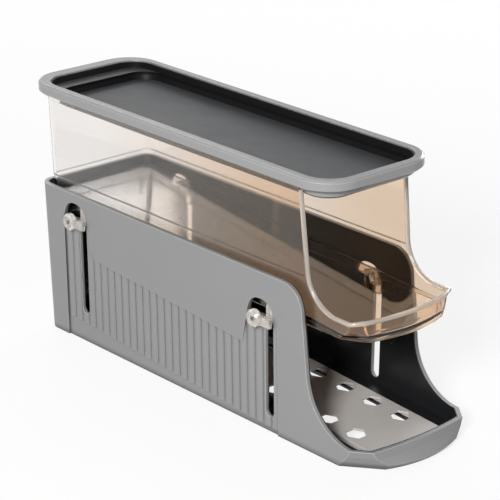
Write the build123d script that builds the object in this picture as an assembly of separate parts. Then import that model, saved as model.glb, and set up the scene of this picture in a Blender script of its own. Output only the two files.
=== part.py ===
from build123d import *
import math
import os

os.makedirs("parts", exist_ok=True)

# Foldable egg holder in millimetres, drawn from the rear edge of the base
# +X runs to the front with the scoops, +Y to the far side, +Z up from the floor

# Base, outside
base_width = 85.0
base_height = 92.0
side_draft = 1.5
rear_draft = 3.0
base_corner_radius = 9.0
heel_radius = 7.0
shell_wall = 2.2
liner_wall = 0.7
foot_thickness = 1.8
foot_width = 9.0
foot_corner_radius = 6.0

# Front of the base, seen from the side
front_edge_top = 229.8
front_edge_foot = 238.0
front_shoulder_radius = 15.0
scoop_radius = 34.0
lip_height = 11.5

# Lip of the base, seen from above
lip_corner_start = 268.0
lip_corner_depth = 9.8
lip_corner_cut = 7.4
lip_bow = 2.6

# Toe of the base under the lip, seen from above
toe_corner_start = 262.0
toe_corner_depth = 19.5
toe_corner_cut = 15.5
toe_bow = 5.2
toe_height = 2.8
toe_tuck = 2.4
flare_height = 7.4
flare_share = 0.3

# Lower lane
lane_slope = 3.4
lane_start_height = 21.6
ramp_start = 9.5
ramp_half_width = 25.0
ramp_thickness = 1.2
ramp_rise = 3.4
ramp_end_gap = 0.4
runner_inset = 0.4
runner_width = 1.4
ledge_thickness = 1.2
ledge_half_gap = 21.4
ledge_end_width = 12.0
hole_across = 10.4
hole_row = 16.8
hole_pitch = 21.6
hole_count = 11
first_hole = 22.1

# Side panels with ribs
panel_start = 24.0
panel_end = 212.0
panel_depth = 1.0
panel_below_top = 33.6
tower_flare = 6.2
tower_lean = 4.8
tower_shoulder = 8.0
tower_rise = 2.3
rib_count = 29
rib_height = 0.75
rib_foot_height = 14.8

# Hook arches and slots
arch_start = 24.8
arch_width = 20.4
arch_rise = 9.2
ledge_below_top = 14.8
slot_width = 6.6
slot_run_out = 3.0
hook_pitch = 163.5

# Hook knobs
knob_diameter = 10.2
knob_thickness = 3.4
knob_bevel = 1.1
knob_wall_gap = 0.35
knob_behind_slot = 9.9
knob_below_ledge = 2.5
dimple_diameter = 4.4
dimple_depth = 1.4
arm_height = 5.0
arm_thickness = 2.2
shoe_height = 10.2
shoe_above_ledge = 1.9
shoe_clearance = 0.25
shoe_bevel = 1.5
pin_diameter = 4.0
pin_clearance = 0.05
barb_length = 6.4
barb_width = 2.6
barb_thickness = 1.2

# Fold and lift
rim_above_base = 1.7

# Upper tier
tier_wall = 1.8
tier_gap = 0.6
tier_corner_radius = 6.5
tier_above_top = 53.7
skirt_below_top = 21.8
foot_below_top = 24.0
lip_drop_length = 8.0
tier_shoulder_above_top = 5.0
tier_shoulder = 0.4
tier_edge_top = 225.2
tier_edge_foot = 232.0
tier_scoop_radius = 22.5
tier_lip_below_top = 12.2
tier_corner_start = 262.0
tier_corner_depth = 4.6
tier_corner_cut = 7.4
tier_bow = 3.6
tier_toe_start = 254.0
tier_toe_depth = 14.5
tier_toe_cut = 12.0
tier_toe_bow = 5.2
tier_toe_height = 1.9
tier_toe_tuck = 3.0
tier_flare_height = 6.4
floor_below_top = 3.8
tier_floor_thickness = 1.5
tier_bead = 0.2
tier_bead_height = 2.2
leg_width = 14.0
leg_drop = 8.5
leg_bevel = 2.2

# Top tray
rim_rear = -12.5
rim_front = 248.5
rim_width = 82.6
rim_corner_radius = 21.0
rim_height = 6.5
rim_band = 5.0
rim_rear_band = 8.5
rim_roll = 1.2
rim_under_roll = 1.2
tub_gap = 0.5
tub_wall = 1.2
tub_front = 243.5
tub_corner_radius = 15.0
tub_draft = 1.2
tub_depth = 11.4
tub_roll = 1.5
mouth_draft = 1.0
tray_liner_wall = 0.7
tray_liner_drop = 1.0

# Shared allowances
margin = 5.0
least_flat = 0.1

# Worked out from the sizes above
base_front = toe_corner_start + toe_corner_depth + toe_bow
nose_back = tier_toe_start - tier_toe_depth
nose_front = tier_toe_start - tier_toe_tuck - margin
arch_radius = arch_rise - least_flat
lane_fall = math.tan(math.radians(lane_slope))
hook_drop = hook_pitch * lane_fall
slot_end = arch_start + arch_width
slot_middle = slot_end - slot_width / 2
ledge_height = base_height - ledge_below_top
knob_height = ledge_height - knob_below_ledge
shoe_middle = ledge_height + shoe_above_ledge
shoe_width = slot_width - 2 * shoe_clearance
inner_offset = shell_wall + liner_wall
cut_width = base_width + 2 * margin
fold_travel = tier_above_top - rim_above_base
rim_bottom = base_height + tier_above_top
rim_top = rim_bottom + rim_height
tub_bottom = rim_top - tub_depth
tier_foot = base_height - foot_below_top
tier_skirt = base_height - skirt_below_top
tier_lip_height = base_height - tier_lip_below_top
tier_floor_start = base_height - floor_below_top
tier_shoulder_height = base_height + tier_shoulder_above_top
lip_nose = (lip_corner_start, lip_corner_depth, lip_corner_cut, lip_bow)
toe_nose = (toe_corner_start, toe_corner_depth, toe_corner_cut, toe_bow)
tier_nose = (tier_corner_start, tier_corner_depth, tier_corner_cut, tier_bow)
tier_toe_nose = (tier_toe_start, tier_toe_depth, tier_toe_cut, tier_toe_bow)


# Shared shapes
def half_width(z):
    """Half of the base's outside width at height z."""
    return base_width / 2 - side_draft * (base_height - z) / base_height


def rear_face(z):
    """Outside rear face of the base at height z."""
    return rear_draft * (base_height - z) / base_height


def lane(start_height, x):
    """Height of an egg lane at distance x from the rear."""
    return start_height - lane_fall * x


def nose_plan(z, side, nose, inset):
    """Front half of an outline at height z: cut corners and a bowed front, moved in."""
    start, depth, cut, bow = nose
    turn = math.atan2(cut, depth)
    side = side - inset
    corner = start - inset * math.tan(turn / 2)
    tip = start + depth - inset
    narrow = side - (tip - corner) * math.tan(turn)
    front = ThreePointArc((tip, -narrow), (tip + bow, 0), (tip, narrow))
    left = [(tip, narrow), (corner, side), (nose_back, side)]
    sides = Polyline(*left, *[(x, -y) for x, y in reversed(left)])
    return Pos(0, 0, z) * Face(Wire([front, *sides.edges()]))


def tucked(nose, tuck):
    """The same nose drawn back by tuck."""
    start, depth, cut, bow = nose
    return (start - tuck, depth, cut, bow)


def between(high, low, share):
    """Nose that has gone by the given share from the high one to the low one."""
    return tuple(a + share * (b - a) for a, b in zip(high, low))


def stack(sections):
    """Solid through faces one above the other, straight between each pair."""
    body = loft(sections[:2], ruled=True)
    for low, high in zip(sections[1:], sections[2:]):
        body = body + loft([low, high], ruled=True)
    return body


def side_profile(points, radii=0):
    """Face in the XZ plane from points of distance and height, with rounded corners."""
    outline = FilletPolyline(*points, radius=radii, close=True) if radii else Polyline(*points, close=True)
    return make_face(Plane.XZ * outline)


def across(face, width):
    """Solid of a side profile with the given width about the middle."""
    return extrude(face, width / 2, both=True)


def slab(face, inner, outer):
    """Solid of an XZ sketch between two distances to the far side."""
    return extrude(Plane.XZ.offset(-outer) * face, outer - inner)


def stub(x, z, inner, outer, diameter):
    """Round bar across the object between two distances to the far side."""
    return slab(Pos(x, z) * Circle(diameter / 2), inner, outer)


# Base
def rear_body(low, high, back, side, radius, inset):
    """Drafted rear part between two heights; back and side give its faces at a height."""
    flank = [(back(low) + inset, low), (nose_front, low), (nose_front, high), (back(high) + inset, high)]
    wide, narrow = side(low) - inset, side(high) - inset
    section = Polyline((-wide, low), (wide, low), (narrow, high), (-narrow, high), close=True)
    run = extrude(make_face(Plane.YZ * section), nose_front, both=True)
    body = across(side_profile(flank), cut_width) & run
    edges = body.faces().sort_by(Axis.X)[0].edges().sort_by(Axis.Y)
    return fillet([edges[0], edges[-1]], max(radius - inset, least_flat))


def base_body(inset, top):
    """Solid base, moved in by inset, from the floor up to the height top."""
    noses = {
        0: tucked(toe_nose, toe_tuck),
        toe_height: toe_nose,
        flare_height: between(lip_nose, toe_nose, flare_share),
        lip_height: lip_nose,
        top: lip_nose,
    }
    front = stack([nose_plan(z, half_width(z), nose, inset) for z, nose in noses.items()])
    return front + rear_body(0, top, rear_face, half_width, base_corner_radius, inset)


def heel_block(inset):
    """Block that rounds the heel under the base."""
    top = base_height + 2 * margin
    points = [(inset, inset), (base_front, inset), (base_front, top), (inset, top)]
    return across(side_profile(points, [heel_radius - inset, 0, 0, 0]), cut_width)


def scoop_cut():
    """All that is open above and in front of the base's side walls."""
    reach = base_front + margin
    top = base_height + margin
    points = [
        (-margin, top),
        (-margin, base_height),
        (front_edge_top, base_height),
        (front_edge_foot, lip_height),
        (reach, lip_height),
        (reach, top),
    ]
    return across(side_profile(points, [0, 0, front_shoulder_radius, scoop_radius, 0, 0]), cut_width)


def slot_foot(drop):
    """Lower end of a slot, just below its shoe when the tier is folded down."""
    return shoe_middle - drop - shoe_height / 2 - fold_travel - slot_run_out


def hook_cuts():
    """Rear and front arch, each with the slot below it, through both side walls."""
    foot = slot_width / 2 - least_flat
    cuts = []
    for number in range(2):
        shift = number * hook_pitch
        drop = number * hook_drop
        start = arch_start + shift
        slot_start = slot_end - slot_width + shift
        end = slot_end + shift
        step = ledge_height - drop
        points = [
            (slot_start, slot_foot(drop)),
            (end, slot_foot(drop)),
            (end, step + arch_rise),
            (start, step + arch_rise),
            (start, step),
            (slot_start, step),
        ]
        cuts.append(across(side_profile(points, [foot, foot, arch_radius, arch_radius, 0, 0]), cut_width))
    return cuts


def panel_face():
    """Recessed panel of one side: an inclined field with a tower up to each arch."""
    front_arch = arch_start + hook_pitch
    panel_rear = base_height - panel_below_top
    tower_top = ledge_height + tower_rise
    points = [
        (panel_start, -margin),
        (panel_end, -margin),
        (panel_end, tower_top - hook_drop - tower_shoulder),
        (slot_end + hook_pitch - least_flat, tower_top - hook_drop),
        (front_arch + least_flat, tower_top - hook_drop),
        (front_arch - tower_lean, lane(panel_rear, front_arch)),
        (slot_end + tower_flare, lane(panel_rear, slot_end)),
        (slot_end - least_flat, tower_top),
        (panel_start, ledge_height),
    ]
    return side_profile(points)


def panel_recess():
    """The recesses of both side panels, of even depth below the drafted walls."""
    top = base_height + margin
    skin = base_body(-margin, top) - base_body(panel_depth, top)
    return across(panel_face(), cut_width) & skin


def panel_ribs():
    """Half-round ribs of both side panels, leaned with the walls and ended on a slope."""
    pitch = (panel_end - panel_start) / rib_count
    wall = half_width(0) - panel_depth
    lean = math.degrees(math.atan2(side_draft, base_height))
    rows = []
    for number in range(rib_count):
        left = panel_start + number * pitch
        right = left + pitch
        crest = ThreePointArc((right, wall), (left + pitch / 2, wall + rib_height), (left, wall))
        root = Polyline((left, wall), (left, wall - panel_depth), (right, wall - panel_depth), (right, wall))
        rows.append(extrude(Face(Wire([crest, *root.edges()])), base_height))
    upright = Compound(rows)
    leaned = Pos(0, wall, 0) * Rot(-lean, 0, 0) * Pos(0, -wall, 0) * upright
    points = [
        (panel_start, lane(rib_foot_height, panel_start)),
        (panel_end, lane(rib_foot_height, panel_end)),
        (panel_end, base_height),
        (panel_start, base_height),
    ]
    field = across(side_profile(points) & panel_face(), cut_width)
    far = [rib & field for rib in leaned.solids()]
    near = [mirror(rib, about=Plane.XZ) for rib in far]
    return far + near


def build_base_shell():
    """Grey housing with its scoop, foot flange, ribbed panels, arches and slots."""
    cavity = base_body(shell_wall, base_height + margin) & heel_block(foot_thickness)
    length = lip_corner_start - 2 * foot_width
    half_well = half_width(0) - shell_wall - foot_width
    well = extrude(RectangleRounded(length, 2 * half_well, foot_corner_radius), foot_width)
    shell = base_body(0, base_height) & heel_block(0)
    shell = shell - cavity - Pos(lip_corner_start / 2, 0, -foot_width / 2) * well - scoop_cut()
    shell = shell - panel_recess()
    shell = shell.fuse(*panel_ribs())
    return shell - hook_cuts()


def build_base_liner():
    """Black inner skin of the housing."""
    top = base_height + margin
    room = base_body(shell_wall, top) & heel_block(foot_thickness)
    return room - base_body(inner_offset, top) - scoop_cut() - hook_cuts()


def build_ramp_frame():
    """Black frame under the ramp: an inclined ledge along each side and across both ends."""
    room = base_body(inner_offset, base_height) & heel_block(foot_thickness)
    start = lane_start_height - ramp_rise
    points = [
        (-margin, lane(start - ledge_thickness, -margin)),
        (lip_corner_start, lane(start - ledge_thickness, lip_corner_start)),
        (lip_corner_start, lane(start, lip_corner_start)),
        (-margin, lane(start, -margin)),
    ]
    length = lip_corner_start - 2 * ledge_end_width
    opening = Pos(lip_corner_start / 2, 0, 0) * Box(length, 2 * ledge_half_gap, base_height)
    return (across(side_profile(points), cut_width) & room) - opening


def build_lower_ramp():
    """Inclined plate with hexagonal holes that stands on two runners."""
    inside = base_body(inner_offset + ramp_end_gap, base_height)
    points = [
        (ramp_start, lane(lane_start_height - ramp_thickness, ramp_start)),
        (base_front, lane(lane_start_height - ramp_thickness, base_front)),
        (base_front, lane(lane_start_height, base_front)),
        (ramp_start, lane(lane_start_height, ramp_start)),
    ]
    ramp = across(side_profile(points), 2 * ramp_half_width)
    low = lane_start_height - ramp_rise
    high = lane_start_height - ramp_thickness
    runner_end = lip_corner_start - margin
    points = [
        (ramp_start, lane(low, ramp_start)),
        (runner_end, lane(low, runner_end)),
        (runner_end, lane(high, runner_end)),
        (ramp_start, lane(high, ramp_start)),
    ]
    outer = ramp_half_width - runner_inset
    runner = slab_profile(points, outer - runner_width, outer)
    ramp = (ramp + runner + mirror(runner, about=Plane.XZ)) & inside
    hexagon = RegularPolygon(hole_across / 2, 6, major_radius=False, rotation=30)
    hole = extrude(hexagon, base_height)
    holes = []
    for number in range(hole_count):
        x = ramp_start + first_hole + number * hole_pitch
        holes += [Pos(x, -hole_row, 0) * hole, Pos(x, hole_row, 0) * hole]
    return ramp - holes


def slab_profile(points, inner, outer):
    """Solid of XZ points between two distances to the far side."""
    return slab(make_face(Polyline(*points, close=True)), inner, outer)


# Upper tier
def tier_back(z):
    """Outside rear face of the tier at height z, clear of the folded base."""
    return rear_face(z - fold_travel) + inner_offset + tier_gap


def tier_side(z):
    """Half of the tier's outside width above its shoulder at height z."""
    return half_width(z - fold_travel) - inner_offset - tier_gap


def tier_half(z):
    """Half of the tier's outside width below its shoulder at height z."""
    return tier_side(z) - tier_shoulder


def tier_part(noses, inset):
    """Solid through the tier's outlines at the given heights, moved in by inset."""
    front = stack([nose_plan(z, tier_side(z), nose, inset) for z, nose in noses.items()])
    return front + rear_body(min(noses), max(noses), tier_back, tier_side, tier_corner_radius, inset)


def tier_body(inset, top):
    """Solid tier, moved in by inset, with its small shoulder and its flared foot."""
    noses = {
        tier_foot: tucked(tier_toe_nose, tier_toe_tuck),
        tier_foot + tier_toe_height: tier_toe_nose,
        tier_foot + tier_flare_height: between(tier_nose, tier_toe_nose, flare_share),
        tier_lip_height: tier_nose,
        tier_shoulder_height: tier_nose,
    }
    low = tier_part(noses, inset + tier_shoulder)
    return low + tier_part({tier_shoulder_height: tier_nose, top: tier_nose}, inset)


def tier_scoop():
    """All that is open above and in front of the tier's side walls."""
    reach = base_front + margin
    top = rim_bottom + margin
    points = [
        (-margin, top),
        (-margin, rim_bottom),
        (tier_edge_top, rim_bottom),
        (tier_edge_foot, tier_lip_height),
        (reach, tier_lip_height),
        (reach, top),
    ]
    return across(side_profile(points, [0, 0, 0, tier_scoop_radius, 0, 0]), cut_width)


def tier_under_cut():
    """What is cut away below the skirt so that the lip hangs a little lower."""
    low = tier_foot - margin
    points = [
        (-margin, low),
        (tier_corner_start, low),
        (tier_corner_start, tier_foot),
        (tier_corner_start - lip_drop_length, tier_skirt),
        (-margin, tier_skirt),
    ]
    return across(side_profile(points), cut_width)


def build_leg(number):
    """Far side leg that carries one hook, with the bore for its pin."""
    middle = slot_middle + number * hook_pitch
    pin_height = shoe_middle - number * hook_drop
    low = pin_height - leg_drop
    high = lane(tier_floor_start, middle)
    outer = tier_half(tier_skirt)
    sketch = Rectangle(leg_width, high - low)
    sketch = chamfer(sketch.vertices().group_by(Axis.Y)[0], leg_bevel)
    leg = slab(Pos(middle, (high + low) / 2) * sketch, outer - tier_wall, outer)
    bore = stub(middle, pin_height, 0, cut_width, pin_diameter + 2 * pin_clearance)
    return leg, bore


def build_upper_tier():
    """Clear container with an inclined floor, a scoop lip, a skirt and four legs."""
    top = rim_bottom
    walls = tier_body(0, top) - tier_body(tier_wall, top)
    bead_foot = top - tier_bead_height
    bead = tier_part({bead_foot: tier_nose, top: tier_nose}, -tier_bead)
    walls = walls + (bead - tier_body(tier_wall, top))
    start = tier_floor_start - tier_floor_thickness
    points = [
        (-margin, lane(start, -margin)),
        (base_front, lane(start, base_front)),
        (base_front, lane(tier_floor_start, base_front)),
        (-margin, lane(tier_floor_start, -margin)),
    ]
    floor = across(side_profile(points), cut_width) & tier_body(tier_wall / 2, top)
    tier = (walls + floor) - tier_scoop() - tier_under_cut()
    for number in range(2):
        leg, bore = build_leg(number)
        tier = tier + leg + mirror(leg, about=Plane.XZ)
        tier = tier - bore - mirror(bore, about=Plane.XZ)
    return tier


# Hook knobs
def build_knob(number):
    """Far side hook: dimpled disc and arm outside the wall, link and shoe in the slot, pin in the leg."""
    middle = slot_middle + number * hook_pitch
    height = shoe_middle - number * hook_drop
    disc_height = knob_height - number * hook_drop
    face = half_width(ledge_height) + knob_wall_gap
    root = tier_half(ledge_height + arch_rise) + pin_clearance
    radius = knob_diameter / 2
    profile = [
        (0, 0),
        (radius, 0),
        (radius, knob_thickness - knob_bevel),
        (radius - knob_bevel, knob_thickness),
        (dimple_diameter / 2, knob_thickness),
        (0, knob_thickness - dimple_depth),
    ]
    disc = revolve(Plane.XY * make_face(Polyline(*profile, close=True)), Axis.Y)
    disc = Pos(middle - knob_behind_slot, face, disc_height) * disc
    arm = Rectangle(knob_behind_slot + shoe_width / 2, arm_height)
    arm_middle = middle - (knob_behind_slot - shoe_width / 2) / 2
    arm = slab(Pos(arm_middle, disc_height) * arm, face, face + arm_thickness)
    foot = Rectangle(shoe_width, shoe_height)
    foot = chamfer(foot.vertices().group_by(Axis.Y)[0], shoe_bevel)
    room = RectangleRounded(arch_width - 2 * shoe_clearance, base_height, arch_radius - shoe_clearance)
    room_middle = middle + (slot_width - arch_width) / 2
    room_top = ledge_height - number * hook_drop + arch_rise - shoe_clearance
    foot = (Pos(middle, height) * foot) & (Pos(room_middle, room_top - base_height / 2) * room)
    shoe = slab(foot, root, face - knob_wall_gap - shell_wall / 2)
    link = foot & (Pos(middle, disc_height) * Rectangle(shoe_width, arm_height))
    link = slab(link, root, face + arm_thickness)
    barb_face = tier_half(tier_skirt) - tier_wall - pin_clearance
    pin = stub(middle, height, barb_face - barb_thickness, root + pin_clearance, pin_diameter)
    barb = Pos(middle, height) * Rectangle(barb_width, barb_length)
    barb = slab(barb, barb_face - barb_thickness, barb_face)
    return disc + arm + link + shoe + pin + barb


# Top tray
def tray_plan(z, back, front, half, radius):
    """Rounded rectangle at height z."""
    sketch = RectangleRounded(front - back, 2 * half, radius)
    return Pos((front + back) / 2, 0, z) * sketch


def tub_plan(z, inset):
    """Tub outline, moved in by inset, and by its draft below the rim."""
    shrink = inset + tub_draft * max(rim_bottom - z, 0) / (rim_bottom - tub_bottom)
    radius = tub_corner_radius - shrink
    back = tier_back(rim_bottom) + tier_wall + tub_gap
    half = tier_side(rim_bottom) - tier_wall - tub_gap
    return tray_plan(z, back + shrink, tub_front - shrink, half - shrink, radius)


def tray_hollow(inset):
    """Hollow of the tray: a steep mouth inside the rim with a shelf at its rear, then the drafted tub."""
    wall = tub_wall + inset
    floor = tub_bottom + wall
    shelf = rim_bottom + wall
    back = rim_rear + rim_rear_band + inset
    front = rim_front - rim_band - inset
    half = rim_width / 2 - rim_band - inset
    throat_half = tier_side(rim_bottom) - tier_wall - tub_gap - wall
    mouth = tray_plan(rim_top, back, front, half, rim_corner_radius - rim_band - inset)
    seat = tray_plan(shelf, back + mouth_draft, tub_front - wall, throat_half, tub_corner_radius - wall)
    throat = tub_plan(rim_bottom, wall)
    tub = loft([tub_plan(floor, wall), throat], ruled=True) + extrude(throat, shelf - rim_bottom)
    return tub + loft([seat, mouth], ruled=True)


def build_top_tray():
    """Grey tray: rolled rim over the tier's edge and a shallow tub inside it."""
    rim = extrude(tray_plan(rim_bottom, rim_rear, rim_front, rim_width / 2, rim_corner_radius), rim_height)
    rim = chamfer(rim.edges().group_by(Axis.Z)[-1], rim_roll)
    rim = chamfer(rim.edges().group_by(Axis.Z)[0], rim_under_roll)
    tub = loft([tub_plan(tub_bottom, 0), tub_plan(rim_bottom, 0)], ruled=True)
    tub = chamfer(tub.edges().group_by(Axis.Z)[0], tub_roll)
    return (rim + tub) - tray_hollow(0)


def build_tray_liner():
    """Black inner skin of the tray."""
    skin = tray_hollow(0) - tray_hollow(tray_liner_wall)
    length = rim_front - rim_rear
    top = Pos((rim_rear + rim_front) / 2, 0, rim_top) * Box(length, rim_width, 2 * tray_liner_drop)
    return skin - top


shapes = {
    "base_shell": build_base_shell(),
    "base_liner": build_base_liner(),
    "ramp_frame": build_ramp_frame(),
    "lower_ramp": build_lower_ramp(),
    "upper_tier": build_upper_tier(),
    "knob_far_rear": build_knob(0),
    "knob_far_front": build_knob(1),
    "top_tray": build_top_tray(),
    "tray_liner": build_tray_liner(),
}
shapes["knob_near_rear"] = mirror(shapes["knob_far_rear"], about=Plane.XZ)
shapes["knob_near_front"] = mirror(shapes["knob_far_front"], about=Plane.XZ)

middle = (shapes["base_shell"].bounding_box().max.X + rim_rear) / 2
for name, shape in shapes.items():
    export_step(Pos(-middle, 0, 0) * shape, f"parts/{name}.step")
    print(name, len(shape.solids()), round(shape.volume))
print("middle", round(middle, 3))
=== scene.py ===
# %% [markdown]
# # Foldable holder
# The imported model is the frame. Every later step works on its named nodes, in metres,
# with +X to the front, +Y to the far side and +Z up.

# %% Load the frame
import math
import bmesh
import bpy
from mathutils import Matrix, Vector


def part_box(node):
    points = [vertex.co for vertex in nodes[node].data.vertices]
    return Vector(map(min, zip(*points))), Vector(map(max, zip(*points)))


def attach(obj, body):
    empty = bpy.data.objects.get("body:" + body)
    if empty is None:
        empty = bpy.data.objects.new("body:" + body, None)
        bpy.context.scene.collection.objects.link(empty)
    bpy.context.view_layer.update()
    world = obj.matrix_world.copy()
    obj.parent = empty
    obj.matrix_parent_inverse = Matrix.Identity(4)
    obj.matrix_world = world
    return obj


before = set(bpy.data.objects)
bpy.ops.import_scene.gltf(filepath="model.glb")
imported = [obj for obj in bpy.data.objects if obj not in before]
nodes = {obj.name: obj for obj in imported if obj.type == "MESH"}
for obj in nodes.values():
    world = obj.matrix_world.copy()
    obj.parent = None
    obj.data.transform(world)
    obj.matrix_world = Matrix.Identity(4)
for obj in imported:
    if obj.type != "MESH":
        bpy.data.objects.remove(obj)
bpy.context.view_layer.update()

scene = bpy.context.scene
print("nodes:", ", ".join(sorted(nodes)))

# %% [markdown]
# ## Camera
# The photograph's camera was solved from the object's own edges: its bearing, its height
# above the horizon, its distance and its focal length in pixels of a 500 pixel frame.

# %% Place the camera
AZIMUTH = math.radians(48.7)
ELEVATION = math.radians(20.94)
FOCAL_PIXELS = 2135.07
FRAME_PIXELS = 500
DISTANCE = 1.20297
TARGET = Vector((0.00529, 0.0, 0.07755))
SENSOR_WIDTH = 36.0
CLIP_START = 0.05
CLIP_END = 50.0


def look_along(thing, direction):
    """Turns a camera or a lamp to look along a direction."""
    thing.rotation_mode = "QUATERNION"
    thing.rotation_quaternion = direction.to_track_quat("-Z", "Y")


towards_camera = Vector((
    math.sin(AZIMUTH) * math.cos(ELEVATION),
    -math.cos(AZIMUTH) * math.cos(ELEVATION),
    math.sin(ELEVATION),
))
camera_data = bpy.data.cameras.new("photo_camera")
camera_data.sensor_width = SENSOR_WIDTH
camera_data.lens = SENSOR_WIDTH * FOCAL_PIXELS / FRAME_PIXELS
camera_data.clip_start = CLIP_START
camera_data.clip_end = CLIP_END
camera = bpy.data.objects.new("photo_camera", camera_data)
camera.location = TARGET + towards_camera * DISTANCE
look_along(camera, -towards_camera)
scene.collection.objects.link(camera)
scene.camera = camera
print("camera at", tuple(round(v, 4) for v in camera.location))

# %% [markdown]
# ## White world
# The world shows as white only to rays that come straight from the camera, or off gloss and
# through clear plastic. What it gives to the object as light is soft and even.
# A node's inputs take either a link or a plain value, so one helper feeds them both ways.

# %% Light the world
WHITE = (1, 1, 1, 1)
WORLD_LIGHT = 0.13
UNDER_ONE_BOUNCE = 0.5


def feed(tree, value, target):
    """Links a socket to the target socket, or sets a plain value there."""
    if isinstance(value, bpy.types.NodeSocket):
        tree.links.new(value, target)
    else:
        target.default_value = value


def feed_all(tree, node, values):
    """Feeds a node's inputs by name or number, and gives its outputs."""
    for label, value in values.items():
        feed(tree, value, node.inputs[label])
    return node.outputs


def maths(tree, operation, first, second):
    """Output of a Math node on two values."""
    node = tree.nodes.new("ShaderNodeMath")
    node.operation = operation
    return feed_all(tree, node, {0: first, 1: second})[0]


def mix_shaders(tree, share, first, second):
    """Output of a Mix Shader node."""
    node = tree.nodes.new("ShaderNodeMixShader")
    return feed_all(tree, node, {0: share, 1: first, 2: second})[0]


def seen_mask(tree):
    """Value that is 1 for camera, glossy and transmitted rays, and 0 for light."""
    path = tree.nodes.new("ShaderNodeLightPath").outputs
    seen = maths(tree, "MAXIMUM", path["Is Camera Ray"], path["Is Glossy Ray"])
    seen = maths(tree, "MAXIMUM", seen, path["Is Transmission Ray"])
    plain = maths(tree, "LESS_THAN", path["Diffuse Depth"], UNDER_ONE_BOUNCE)
    return maths(tree, "MULTIPLY", seen, plain)


def background(tree, strength):
    """White background of the given strength."""
    node = tree.nodes.new("ShaderNodeBackground")
    return feed_all(tree, node, {"Color": WHITE, "Strength": strength})[0]


def build_world(light_level):
    """White to look at, and a soft even light on the object."""
    world = bpy.data.worlds.new("studio")
    world.use_nodes = True
    tree = world.node_tree
    tree.nodes.clear()
    soft = background(tree, light_level)
    white = background(tree, 1.0)
    out = tree.nodes.new("ShaderNodeOutputWorld")
    feed(tree, mix_shaders(tree, seen_mask(tree), soft, white), out.inputs["Surface"])
    scene.world = world


scene.view_settings.view_transform = "Standard"
build_world(WORLD_LIGHT)
print("world light:", WORLD_LIGHT)

# %% [markdown]
# ## Floor
# The floor shows white in the same way. Near the object a small share of the true shadow
# comes through the white. Farther out the white is pure, so no horizon shows.

# %% Lay the floor
FLOOR_SIZE = 6.0
FLOOR_GREY = (0.45, 0.45, 0.45, 1)
SHADOW_SHARE = 0.18
FADE_SPAN = (0.3, 1.2)


def vector_maths(tree, operation, first, second=None):
    """Outputs of a Vector Math node on one value or on two."""
    node = tree.nodes.new("ShaderNodeVectorMath")
    node.operation = operation
    return feed_all(tree, node, {0: first} if second is None else {0: first, 1: second})


def mix_colour(tree, share, first, second):
    """Colour between two colours, by a share of the second."""
    node = tree.nodes.new("ShaderNodeMix")
    node.data_type = "RGBA"
    return feed_all(tree, node, {0: share, 6: first, 7: second})[2]


def remap(tree, value, span, low=0.0, high=1.0, curve="LINEAR"):
    """Maps a span of values to the values from low to high."""
    node = tree.nodes.new("ShaderNodeMapRange")
    node.interpolation_type = curve
    limits = {"From Min": span[0], "From Max": span[1], "To Min": low, "To Max": high}
    return feed_all(tree, node, {"Value": value, **limits})["Result"]


def object_place(tree):
    """Place of a point in its object's own coordinates."""
    return tree.nodes.new("ShaderNodeTexCoord").outputs["Object"]


def floor_material(shadow_share):
    """White glow over a matt grey that takes the shadow."""
    material = bpy.data.materials.new("studio_floor")
    material.use_nodes = True
    tree = material.node_tree
    tree.nodes.clear()
    seen = seen_mask(tree)
    tone = mix_colour(tree, seen, FLOOR_GREY, WHITE)
    matt = feed_all(tree, tree.nodes.new("ShaderNodeBsdfDiffuse"), {"Color": tone})[0]
    glow = feed_all(tree, tree.nodes.new("ShaderNodeEmission"), {"Strength": 1.0})[0]
    away = vector_maths(tree, "LENGTH", object_place(tree))["Value"]
    white = remap(tree, away, FADE_SPAN, low=1.0 - shadow_share)
    out = tree.nodes.new("ShaderNodeOutputMaterial")
    share = maths(tree, "MULTIPLY", seen, white)
    feed(tree, mix_shaders(tree, share, matt, glow), out.inputs["Surface"])
    return material


def build_floor(size, shadow_share):
    """Square floor under the object."""
    grid = bmesh.new()
    bmesh.ops.create_grid(grid, x_segments=1, y_segments=1, size=size / 2)
    mesh = bpy.data.meshes.new("studio_floor")
    grid.to_mesh(mesh)
    grid.free()
    mesh.materials.append(floor_material(shadow_share))
    floor = bpy.data.objects.new("studio_floor", mesh)
    scene.collection.objects.link(floor)
    print("floor corners in metres:", [tuple(corner.co) for corner in mesh.vertices])


build_floor(FLOOR_SIZE, SHADOW_SHARE)

# %% [markdown]
# ## Lamps
# One rather small lamp at the near front draws the shadows and the bright lines. Two broad,
# weaker lamps light the rear and the far side.

# %% Set the lamps
LAMP_AIM = Vector((0, 0, 0.07))


def build_lamp(name, place, size, power):
    """Square soft lamp that looks at the middle of the object."""
    data = bpy.data.lights.new(name, "AREA")
    data.shape = "SQUARE"
    data.size = size
    data.energy = power
    lamp = bpy.data.objects.new(name, data)
    lamp.location = place
    look_along(lamp, LAMP_AIM - Vector(place))
    scene.collection.objects.link(lamp)
    print(name, "of", power, "watts at", place)


build_lamp("key_lamp", place=(0.82, -1.3, 0.85), size=0.4, power=34.0)
build_lamp("rear_lamp", place=(-1.3, 0.6, 1.2), size=0.9, power=8.0)
build_lamp("far_lamp", place=(-0.5, 1.6, 0.6), size=0.9, power=12.0)

# %% [markdown]
# ## Moulded surface
# Each shared effect is a node group that gives out only a colour, a value or a normal.
# The shader of each material stays plain, so it reads the same in other renderers.
# The first effect is what all moulded plastic has: a faint drift of tone, an uneven sheen
# and a fine spark-eroded grain.

# %% Moulded effect
COLOUR = "NodeSocketColor"
NUMBER = "NodeSocketFloat"
VECTOR = "NodeSocketVector"
MID_GREY = (0.5, 0.5, 0.5, 1)
NOISE_SPAN = (0.3, 0.7)
TONE_SCALE = 14.0
SHEEN_SCALE = 55.0
GRAIN_SCALE = 2600.0


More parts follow.
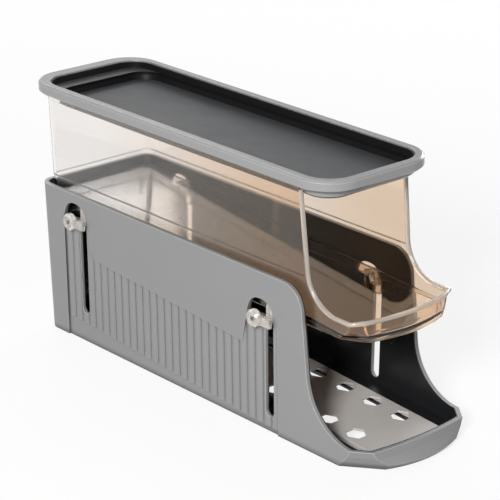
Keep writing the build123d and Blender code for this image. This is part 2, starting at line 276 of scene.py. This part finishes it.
def new_group(name, inputs, outputs):
    """Node group with its inputs by name, kind and value, and its outputs by name and kind."""
    group = bpy.data.node_groups.new(name, "ShaderNodeTree")
    for label, (kind, value) in inputs.items():
        socket = group.interface.new_socket(name=label, in_out="INPUT", socket_type=kind)
        socket.default_value = value
    for label, kind in outputs.items():
        group.interface.new_socket(name=label, in_out="OUTPUT", socket_type=kind)
    start = group.nodes.new("NodeGroupInput").outputs
    end = group.nodes.new("NodeGroupOutput").inputs
    return group, start, end


def noise(tree, place, scale, detail):
    """Noise texture on the given coordinates."""
    node = tree.nodes.new("ShaderNodeTexNoise")
    return feed_all(tree, node, {"Vector": place, "Scale": scale, "Detail": detail})["Fac"]


def drift(tree, place, scale, detail, low, high):
    """Noise that drifts between low and high."""
    return remap(tree, noise(tree, place, scale, detail), NOISE_SPAN, low, high)


def scaled(tree, colour, level):
    """Colour made darker or paler by a level."""
    node = tree.nodes.new("ShaderNodeVectorMath")
    node.operation = "SCALE"
    return feed_all(tree, node, {0: colour, "Scale": level})["Vector"]


def build_moulded():
    """Moulded plastic: drifting colour and roughness, and the height of its grain."""
    inputs = {"Color": (COLOUR, MID_GREY), "Sheen": (NUMBER, 0.4)}
    outputs = {"Color": COLOUR, "Roughness": NUMBER, "Height": NUMBER}
    group, start, end = new_group("moulded_plastic", inputs, outputs)
    place = object_place(group)
    tone = drift(group, place, TONE_SCALE, 2.0, 0.975, 1.02)
    patch = drift(group, place, SHEEN_SCALE, 3.0, 0.9, 1.12)
    feed(group, scaled(group, start["Color"], tone), end["Color"])
    feed(group, maths(group, "MULTIPLY", start["Sheen"], patch), end["Roughness"])
    feed(group, noise(group, place, GRAIN_SCALE, 2.0), end["Height"])
    return group


MOULDED = build_moulded()
print("group:", MOULDED.name)

# %% [markdown]
# ## Edges and grooves
# Crisp edges are rounded in the shading alone, by the Bevel node. On the side panels the
# rounded normal is also turned further along X, which makes the ribs look deeper.
# Grooves get a painted shade, darker where ambient occlusion finds less room. Edges get a painted
# highlight, paler where the rounded normal leaves the true one and the room around is wide.

# %% Edge and groove effects
EDGE_SAMPLES = 6
GROOVE_SAMPLES = 8
SIDE_SPAN = (0.7, 0.85)
SHARP_SPAN = (0.993, 0.93)
OUTWARD_SPAN = (0.88, 0.98)
GROOVE_SPAN = (0.5, 0.98)


def split(tree, vector):
    """The X, Y and Z outputs of a vector."""
    return feed_all(tree, tree.nodes.new("ShaderNodeSeparateXYZ"), {0: vector})


def bevel_normal(tree, radius):
    """Normal that is rounded over the edges by a radius."""
    node = tree.nodes.new("ShaderNodeBevel")
    node.samples = EDGE_SAMPLES
    return feed_all(tree, node, {"Radius": radius})["Normal"]


def gain(tree, mask, amount):
    """Level that is 1 outside a mask, and higher by the amount inside it."""
    return maths(tree, "ADD", maths(tree, "MULTIPLY", mask, amount), 1.0)


def build_soft_edge():
    """Normal that rounds crisp edges by a small radius and deepens the ribs of the side panels."""
    inputs = {"Radius": (NUMBER, 0.0003), "Relief": (NUMBER, 0.0)}
    group, start, end = new_group("soft_edge", inputs, {"Normal": VECTOR})
    parts = split(group, bevel_normal(group, start["Radius"]))
    side = remap(group, maths(group, "MULTIPLY", parts["Y"], parts["Y"]), SIDE_SPAN)
    along = maths(group, "MULTIPLY", parts["X"], gain(group, side, start["Relief"]))
    turned = {"X": along, "Y": parts["Y"], "Z": parts["Z"]}
    steeper = feed_all(group, group.nodes.new("ShaderNodeCombineXYZ"), turned)["Vector"]
    feed(group, vector_maths(group, "NORMALIZE", steeper)["Vector"], end["Normal"])
    return group


def edge_mask(tree, radius, openness):
    """Mask for the painted highlight: 1 on sharp edges which stand out, and 0 on flats and in
    grooves.
    """
    true_normal = tree.nodes.new("ShaderNodeNewGeometry").outputs["Normal"]
    turn = vector_maths(tree, "DOT_PRODUCT", bevel_normal(tree, radius), true_normal)["Value"]
    sharp = remap(tree, turn, SHARP_SPAN)
    return maths(tree, "MULTIPLY", sharp, remap(tree, openness, OUTWARD_SPAN))


def build_groove_shade_edge_highlight():
    """Painted shade that darkens the grooves, where less light gets in, and a painted highlight
    that makes the edges paler, where the plastic gleams.
    """
    inputs = {
        "Color": (COLOUR, MID_GREY),
        "Reach": (NUMBER, 0.002),
        "Depth": (NUMBER, 0.6),
        "Radius": (NUMBER, 0.0004),
        "Gleam": (NUMBER, 0.5),
    }
    group, start, end = new_group("painted_groove_shade_edge_highlight", inputs, {"Color": COLOUR})
    nearby = group.nodes.new("ShaderNodeAmbientOcclusion")
    nearby.samples = GROOVE_SAMPLES
    openness = feed_all(group, nearby, {"Distance": start["Reach"]})["AO"]
    groove_shade = remap(group, openness, GROOVE_SPAN, low=start["Depth"])
    edge = edge_mask(group, start["Radius"], openness)
    level = maths(group, "MULTIPLY", groove_shade, gain(group, edge, start["Gleam"]))
    feed(group, scaled(group, start["Color"], level), end["Color"])
    return group


SOFT_EDGE = build_soft_edge()
GROOVE_SHADE_EDGE_HIGHLIGHT = build_groove_shade_edge_highlight()
print("groups:", SOFT_EDGE.name, GROOVE_SHADE_EDGE_HIGHLIGHT.name)

# %% [markdown]
# ## Opaque plastics
# Grey and black plastic differ in colour, sheen and grain. Faces that look up get painted light:
# the top of the tray's rim a painted shade, darker than its face, and the tray's floor a painted
# reflection, paler than its black walls.

# %% Opaque plastics
GRAIN_DEPTH = 0.00005
UPWARD_SPAN = (0.75, 0.95)
SHELL_GREY = (0.252, 0.252, 0.254)
RIM_GREY = (0.27, 0.27, 0.272)
RIM_TOP_PAINTED_SHADE = (0.185, 0.185, 0.187)
LINER_BLACK = (0.011, 0.0115, 0.0125)
TRAY_WALL_BLACK = (0.005, 0.005, 0.0055)
TRAY_FLOOR_PAINTED_REFLECTION = (0.05, 0.052, 0.055)
RAMP_WARM = (0.5, 0.475, 0.455)


def add_group(tree, group, **values):
    """Puts a group in a tree, feeds its inputs by name and gives its outputs."""
    node = tree.nodes.new("ShaderNodeGroup")
    node.node_tree = group
    return feed_all(tree, node, values)


def new_material(name):
    """New material, with its node tree and its Principled shader."""
    material = bpy.data.materials.new(name)
    material.use_nodes = True
    tree = material.node_tree
    return material, tree, tree.nodes["Principled BSDF"]


def plastic(name, colour, sheen, grain, radius, reflect=0.5, relief=0.0):
    """Opaque moulded plastic with rounded edges."""
    material, tree, shader = new_material(name)
    look = add_group(tree, MOULDED, Color=(*colour, 1), Sheen=sheen)
    edge = add_group(tree, SOFT_EDGE, Radius=radius, Relief=relief)
    bump = {
        "Strength": grain,
        "Distance": GRAIN_DEPTH,
        "Height": look["Height"],
        "Normal": edge["Normal"],
    }
    surface = {
        "Base Color": look["Color"],
        "Roughness": look["Roughness"],
        "Specular IOR Level": reflect,
        "Normal": feed_all(tree, tree.nodes.new("ShaderNodeBump"), bump)["Normal"],
    }
    feed_all(tree, shader, surface)
    return material


def dress(material, *names):
    """Gives a material to every slot of the named CAD nodes."""
    for name in names:
        for slot in nodes[name].material_slots:
            slot.material = material
    print(material.name, "on", ", ".join(names))


def paint_upward_light_and_shade(material, colour):
    """Paints the faces that look up in another tone: a painted shade on the rim's top, a painted
    reflection on the tray's floor.
    """
    tree = material.node_tree
    target = tree.nodes["Principled BSDF"].inputs["Base Color"]
    facing = tree.nodes.new("ShaderNodeTexCoord").outputs["Normal"]
    upward = remap(tree, split(tree, facing)["Z"], UPWARD_SPAN)
    plain = target.links[0].from_socket
    feed(tree, mix_colour(tree, upward, plain, (*colour, 1)), target)


def recolour(material, group, **values):
    """Passes the colour of a material through a group that changes it."""
    tree = material.node_tree
    target = tree.nodes["Principled BSDF"].inputs["Base Color"]
    changed = add_group(tree, group, Color=target.links[0].from_socket, **values)
    feed(tree, changed["Color"], target)


grey = plastic("shell_grey_plastic", SHELL_GREY, sheen=0.34, grain=0.25, radius=0.0004, relief=0.9)
# Painted shade in the grooves and arches, and a painted highlight on the edges.
recolour(grey, GROOVE_SHADE_EDGE_HIGHLIGHT, Reach=0.004, Depth=0.33, Radius=0.0006, Gleam=0.95)
dress(grey, "base_shell")

rim_grey = plastic("rim_grey_plastic", RIM_GREY, sheen=0.22, grain=0.1, radius=0.0006, reflect=0.7)
# Painted shade: the rim's top is painted darker than its face.
paint_upward_light_and_shade(rim_grey, RIM_TOP_PAINTED_SHADE)
# Painted shade in the rim's grooves, and a painted highlight on its edges.
recolour(rim_grey, GROOVE_SHADE_EDGE_HIGHLIGHT, Reach=0.002, Depth=0.6, Radius=0.0006, Gleam=0.6)
dress(rim_grey, "top_tray")

black = plastic(
    "liner_black_plastic", LINER_BLACK, sheen=0.3, grain=0.05, radius=0.0003, reflect=0.35
)
dress(black, "base_liner", "ramp_frame")

tray_black = plastic(
    "tray_black_plastic", TRAY_WALL_BLACK, sheen=0.38, grain=0.1, radius=0.0004, reflect=0.12
)
# Painted reflection: the tray's floor is painted paler than its black walls.
paint_upward_light_and_shade(tray_black, TRAY_FLOOR_PAINTED_REFLECTION)
dress(tray_black, "tray_liner")

warm = plastic("ramp_warm_plastic", RAMP_WARM, sheen=0.38, grain=0.2, radius=0.0003)
dress(warm, "lower_ramp")

# %% [markdown]
# ## Clear tier
# The clear plastics keep a plain transmission, and take their tint from the colour alone.
# The tier's tint runs from almost neutral at the rear to amber at the front, as its walls
# look in the photograph.

# %% Tier plastic
TIER_IOR = 1.49
TIER_EDGE_RADIUS = 0.0009
REAR_TINT = (0.94, 0.92, 0.905, 1)
FRONT_TINT = (0.84, 0.66, 0.5, 1)
TINT_SPAN = (-0.10, 0.08)
HAZE_SCALE = 30.0


def build_tint():
    """Tint of the clear tier along its length, with a faint haze."""
    inputs = {"Rear": (COLOUR, REAR_TINT), "Front": (COLOUR, FRONT_TINT)}
    outputs = {"Color": COLOUR, "Roughness": NUMBER}
    group, start, end = new_group("tier_tint", inputs, outputs)
    place = object_place(group)
    along = remap(group, split(group, place)["X"], TINT_SPAN, curve="SMOOTHSTEP")
    feed(group, mix_colour(group, along, start["Rear"], start["Front"]), end["Color"])
    feed(group, drift(group, place, HAZE_SCALE, 3.0, 0.02, 0.06), end["Roughness"])
    return group


def clear(name, ior, share=1.0):
    """Clear plastic with a plain transmission, cloudy where the share is below one."""
    material, tree, shader = new_material(name)
    feed_all(tree, shader, {"Transmission Weight": share, "IOR": ior})
    return material, tree, shader


def tier_material():
    """Amber clear plastic of the tier."""
    material, tree, shader = clear("tier_amber_plastic", TIER_IOR)
    tint = add_group(tree, build_tint())
    edge = add_group(tree, SOFT_EDGE, Radius=TIER_EDGE_RADIUS)
    surface = {
        "Base Color": tint["Color"],
        "Roughness": tint["Roughness"],
        "Normal": edge["Normal"],
    }
    feed_all(tree, shader, surface)
    return material


dress(tier_material(), "upper_tier")

# %% [markdown]
# ## Hooks
# The hooks are clear too, but slightly cloudy. Each disc gets a painted shade in its middle, for
# the dark that its dimple gathers from behind it. The group finds that middle by the distance in
# the side view.

# %% Hook plastic
HOOK_IOR = 1.5
HOOK_SHARE = 0.72
HOOK_COAT = 0.6
HOOK_COLOUR = (0.97, 0.93, 0.87)
CLOUDY_SHEEN = 0.1
PALE_GREY = (0.9, 0.9, 0.9, 1)
SIDE_VIEW = (1, 0, 1)
DIMPLE_SPAN = (0.0009, 0.0018)
DIMPLE_SHADE_LEVEL = 0.1
DISC_RADIUS = 0.0051
REAR_BAND = 0.00005


def build_dimple_painted_shade():
    """Painted shade: darkens the colour around a centre in the side view."""
    inputs = {"Color": (COLOUR, PALE_GREY), "Centre": (VECTOR, (0, 0, 0))}
    group, start, end = new_group("hook_dimple_painted_shade", inputs, {"Color": COLOUR})
    offset = vector_maths(group, "SUBTRACT", object_place(group), start["Centre"])["Vector"]
    flat = vector_maths(group, "MULTIPLY", offset, SIDE_VIEW)["Vector"]
    away = vector_maths(group, "LENGTH", flat)["Value"]
    tone = remap(group, away, DIMPLE_SPAN, low=DIMPLE_SHADE_LEVEL)
    feed(group, scaled(group, start["Color"], tone), end["Color"])
    return group


def disc_centre(name):
    """Middle of a hook's disc in the side view, from the rearmost points of its mesh."""
    points = [vertex.co for vertex in nodes[name].data.vertices]
    rear = min(point.x for point in points)
    level = [point.z for point in points if point.x < rear + REAR_BAND]
    return (rear + DISC_RADIUS, 0.0, (min(level) + max(level)) / 2)


def cloudy(name, colour, ior, share, coat=0.0):
    """Clear plastic that is slightly cloudy, with the moulded tone and sheen."""
    material, tree, shader = clear(name, ior, share)
    look = add_group(tree, MOULDED, Color=(*colour, 1), Sheen=CLOUDY_SHEEN)
    surface = {
        "Base Color": look["Color"],
        "Roughness": look["Roughness"],
        "Coat Weight": coat,
    }
    feed_all(tree, shader, surface)
    return material


def knob_material(name, centre):
    """Plastic of the hooks, with a coat of gloss and the painted shade in its middle."""
    material = cloudy(name, HOOK_COLOUR, HOOK_IOR, HOOK_SHARE, HOOK_COAT)
    # Painted shade in the middle of each disc.
    recolour(material, DIMPLE_PAINTED_SHADE, Centre=centre)
    return material


DIMPLE_PAINTED_SHADE = build_dimple_painted_shade()
for end_name in ("rear", "front"):
    middle = disc_centre(f"knob_near_{end_name}")
    hook_plastic = knob_material(f"knob_{end_name}_plastic", middle)
    dress(hook_plastic, f"knob_near_{end_name}", f"knob_far_{end_name}")
    print("middle of the disc in mm:", [round(1000 * value, 2) for value in middle])

# %% [markdown]
# ## Rolled edge of the tier
# The free edge of the clear tier is rolled into a slim round bead. Its plastic is paler and
# cloudier than the wall behind it: partly a cream tint of its own, partly a painted highlight for
# the white line that light draws along the bead. A curve with a round bevel makes such a bead,
# because its middle line is only a straight run, one round bend and the bowed front of the lip.

# %% Rolled edge
tier_low, tier_high = (Vector(corner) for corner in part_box("upper_tier"))
EDGE_TINT_AND_HIGHLIGHT_COLOUR = (0.97, 0.9, 0.82)
EDGE_SHARE = 0.7
BEAD_RADIUS = 0.0013
BEAD_ROUNDNESS = 4
WALL_INSET = 0.001
EDGE_TOP = Vector((0.0881, tier_high.z - BEAD_RADIUS))
EDGE_FOOT = Vector((0.0949, 0.0798))
SCOOP_RADIUS = 0.0225
TOP_HALF = 0.039
LIP_HALF = 0.0375
CORNER_X = 0.1249
TIP = Vector((0.1285, 0.0292))
BOW_X = 0.1321
BEND_STEPS = 12


def scoop_line():
    """Points of the near edge in distance and height: the straight run, then the bend."""
    turn = (EDGE_FOOT - EDGE_TOP).angle(Vector((1, 0)))
    centre = EDGE_FOOT + Vector((SCOOP_RADIUS * math.tan(turn / 2), SCOOP_RADIUS))
    points = [EDGE_TOP]
    for step in range(BEND_STEPS + 1):
        angle = -math.pi / 2 - turn * (1 - step / BEND_STEPS)
        points.append(centre + SCOOP_RADIUS * Vector((math.cos(angle), math.sin(angle))))
    return points


def lip_line():
    """Points of the lip's front, from the near tip over the bow to the far one."""
    points = []
    for step in range(-BEND_STEPS, BEND_STEPS + 1):
        share = step / BEND_STEPS
        points.append((BOW_X - (BOW_X - TIP.x) * share * share, share * TIP.y))
    return points


def edge_points():
    """Middle line of the bead from the near top round the lip to the far top."""
    lip = EDGE_FOOT.y
    rise = EDGE_TOP.y - lip
    near = []
    for x, z in scoop_line():
        half = LIP_HALF + (TOP_HALF - LIP_HALF) * (z - lip) / rise - WALL_INSET
        near.append(Vector((x, -half, z)))
    near.append(Vector((CORNER_X, WALL_INSET - LIP_HALF, lip)))
    far = [Vector((point.x, -point.y, point.z)) for point in reversed(near)]
    return near + [Vector((x, y, lip)) for x, y in lip_line()] + far


bead_curve = bpy.data.curves.new("tier_edge_bead", "CURVE")
bead_curve.dimensions = "3D"
bead_curve.bevel_depth = BEAD_RADIUS
bead_curve.bevel_resolution = BEAD_ROUNDNESS
bead_curve.use_fill_caps = True
bead_line = bead_curve.splines.new("POLY")
bead_points = edge_points()
bead_line.points.add(len(bead_points) - 1)
for target, point in zip(bead_line.points, bead_points):
    target.co = (*point, 1)
# Paler, cloudier plastic: partly the edge's own tint, partly a painted highlight.
bead_curve.materials.append(cloudy("tier_edge_plastic_painted_highlight", EDGE_TINT_AND_HIGHLIGHT_COLOUR, TIER_IOR, EDGE_SHARE))
bead = bpy.data.objects.new("tier_edge_bead", bead_curve)
scene.collection.objects.link(bead)
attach(bead, "tier")
print("bead points:", len(bead_points))
print("tier box in mm:", [round(1000 * value, 2) for value in (*tier_low, *tier_high)])
